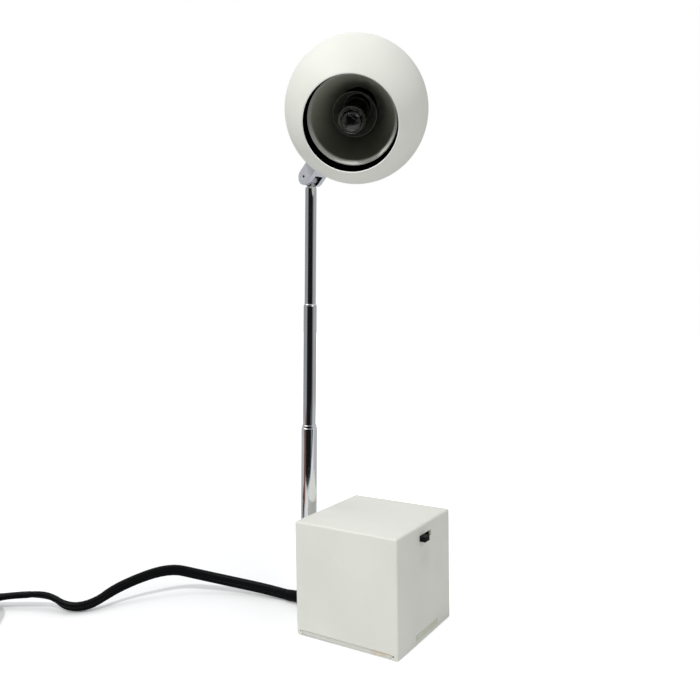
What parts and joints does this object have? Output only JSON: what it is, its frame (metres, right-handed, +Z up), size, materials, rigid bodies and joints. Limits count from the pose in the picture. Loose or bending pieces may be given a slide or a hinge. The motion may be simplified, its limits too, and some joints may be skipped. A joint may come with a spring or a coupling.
{
  "type": "telescoping ball-head table lamp",
  "caption": "Small searchlight lamp: hollow ball head with reflector, knuckle, telescoping three-section arm, cube base with slide switch, and coiled two-wire cord.",
  "frame": {"origin": "centre of the rest pad's underside, on the table under the middle of the cube", "axes": "+Z up; -Y out of the switch face; the arm stands behind the cube at +Y; +X to the right seen from the switch face"},
  "size_m": [0.2577, 0.358, 0.3879],
  "materials": {
    "shell_paint": "satin warm off-white enamel",
    "pad_rubber": "matt black rubber",
    "screw_steel": "zinc-plated steel",
    "strip_plastic": "bare pale adhesive strip",
    "core_steel": "varnished laminations",
    "winding_copper": "enamelled copper wire",
    "bobbin_plastic": "moulded",
    "chrome": "bright chrome",
    "washer_metal": "spring steel",
    "contact_brass": "plain brass",
    "insulator": "laminated insulator",
    "black_plastic": "moulded black",
    "cord_vinyl": "black flexible vinyl",
    "blade_metal": "plain blades",
    "tie_wire": "black tie",
    "reflector_paint": "satin grey",
    "dark_metal": "blackened",
    "baffle_metal": "satin dark grey",
    "socket_metal": "nickel-plated",
    "lamp_glass": "clear",
    "filament_wire": "tungsten"
  },
  "bodies": {
    "base": {"base_housing": "shell_paint", "base_plate": "shell_paint", "base_pad": "pad_rubber", "base_screws": "screw_steel", "label_strip": "strip_plastic", "transformer_core": "core_steel", "transformer_bobbin": "bobbin_plastic", "primary_winding": "winding_copper", "secondary_winding": "winding_copper", "transformer_strap": "screw_steel", "switch_plate": "screw_steel", "switch_body": "black_plastic", "switch_terminals": "contact_brass", "inner_leads": "cord_vinyl", "foot_yoke": "chrome", "foot_yoke_screws": "screw_steel", "foot_pin": "chrome", "foot_washers": "washer_metal", "cord_boot": "cord_vinyl", "cord_run": "cord_vinyl", "cord_coil": "cord_vinyl", "coil_tie": "tie_wire", "plug_body": "cord_vinyl", "plug_blades": "blade_metal"},
    "arm_lower": {"arm_foot": "chrome", "foot_insulator": "insulator", "lower_tube": "chrome", "contact_rod": "contact_brass"},
    "middle_slider": {"middle_sleeve": "washer_metal"},
    "arm_middle": {"middle_tube": "chrome", "middle_contact": "contact_brass", "middle_insulator": "insulator"},
    "upper_slider": {"upper_sleeve": "washer_metal"},
    "arm_upper": {"upper_tube": "chrome", "upper_contact": "contact_brass", "upper_insulator": "insulator", "top_lug": "chrome"},
    "head_knuckle": {"head_yoke": "chrome", "head_pin": "chrome", "head_washers": "washer_metal", "seat_washer": "washer_metal", "swivel_nipple": "contact_brass", "inner_washer": "washer_metal", "swivel_nut": "contact_brass"},
    "head": {"ball_shell": "shell_paint", "reflector_cup": "reflector_paint", "lamp_baffle": "baffle_metal", "cup_carrier": "dark_metal", "socket_shell": "socket_metal", "socket_insulator": "insulator", "contact_plunger": "contact_brass", "contact_spring": "washer_metal", "bulb_base": "socket_metal", "bulb_glass": "lamp_glass", "bulb_stem": "lamp_glass", "filament": "filament_wire", "socket_post": "screw_steel", "rear_screw": "screw_steel", "socket_leads": "cord_vinyl"},
    "switch_slider": {"switch_knob": "black_plastic"}
  },
  "joints": [
    {"name": "switch_slide", "type": "slide", "parent": "base", "child": "switch_slider", "axis": [1, 0, 0], "range_m": [0, 0.009]},
    {"name": "arm_tilt", "type": "hinge", "parent": "base", "child": "arm_lower", "pos_m": [0, 0.0554, 0.022], "axis": [1, 0, 0], "range_deg": [-60, 8]},
    {"name": "middle_slide", "type": "slide", "parent": "arm_lower", "child": "middle_slider", "axis": [0, -0.0314, 0.9995], "range_m": [-0.084, 0]},
    {"name": "middle_turn", "type": "hinge", "parent": "middle_slider", "child": "arm_middle", "pos_m": [0, 0.05217, 0.12495], "axis": [0, -0.0314, 0.9995], "continuous": true},
    {"name": "upper_slide", "type": "slide", "parent": "arm_middle", "child": "upper_slider", "axis": [0, -0.0314, 0.9995], "range_m": [-0.08, 0]},
    {"name": "upper_turn", "type": "hinge", "parent": "upper_slider", "child": "arm_upper", "pos_m": [0, 0.04943, 0.21191], "axis": [0, -0.0314, 0.9995], "continuous": true},
    {"name": "head_tilt", "type": "hinge", "parent": "arm_upper", "child": "head_knuckle", "pos_m": [0, 0.0465, 0.30516], "axis": [0.9781, -0.2078, -0.0065], "range_deg": [-93, 52]},
    {"name": "head_turn", "type": "hinge", "parent": "head_knuckle", "child": "head", "pos_m": [-0.00887, 0.00362, 0.34196], "axis": [-0.155, -0.7498, 0.6433], "range_deg": [-119, 210]}
  ]
}
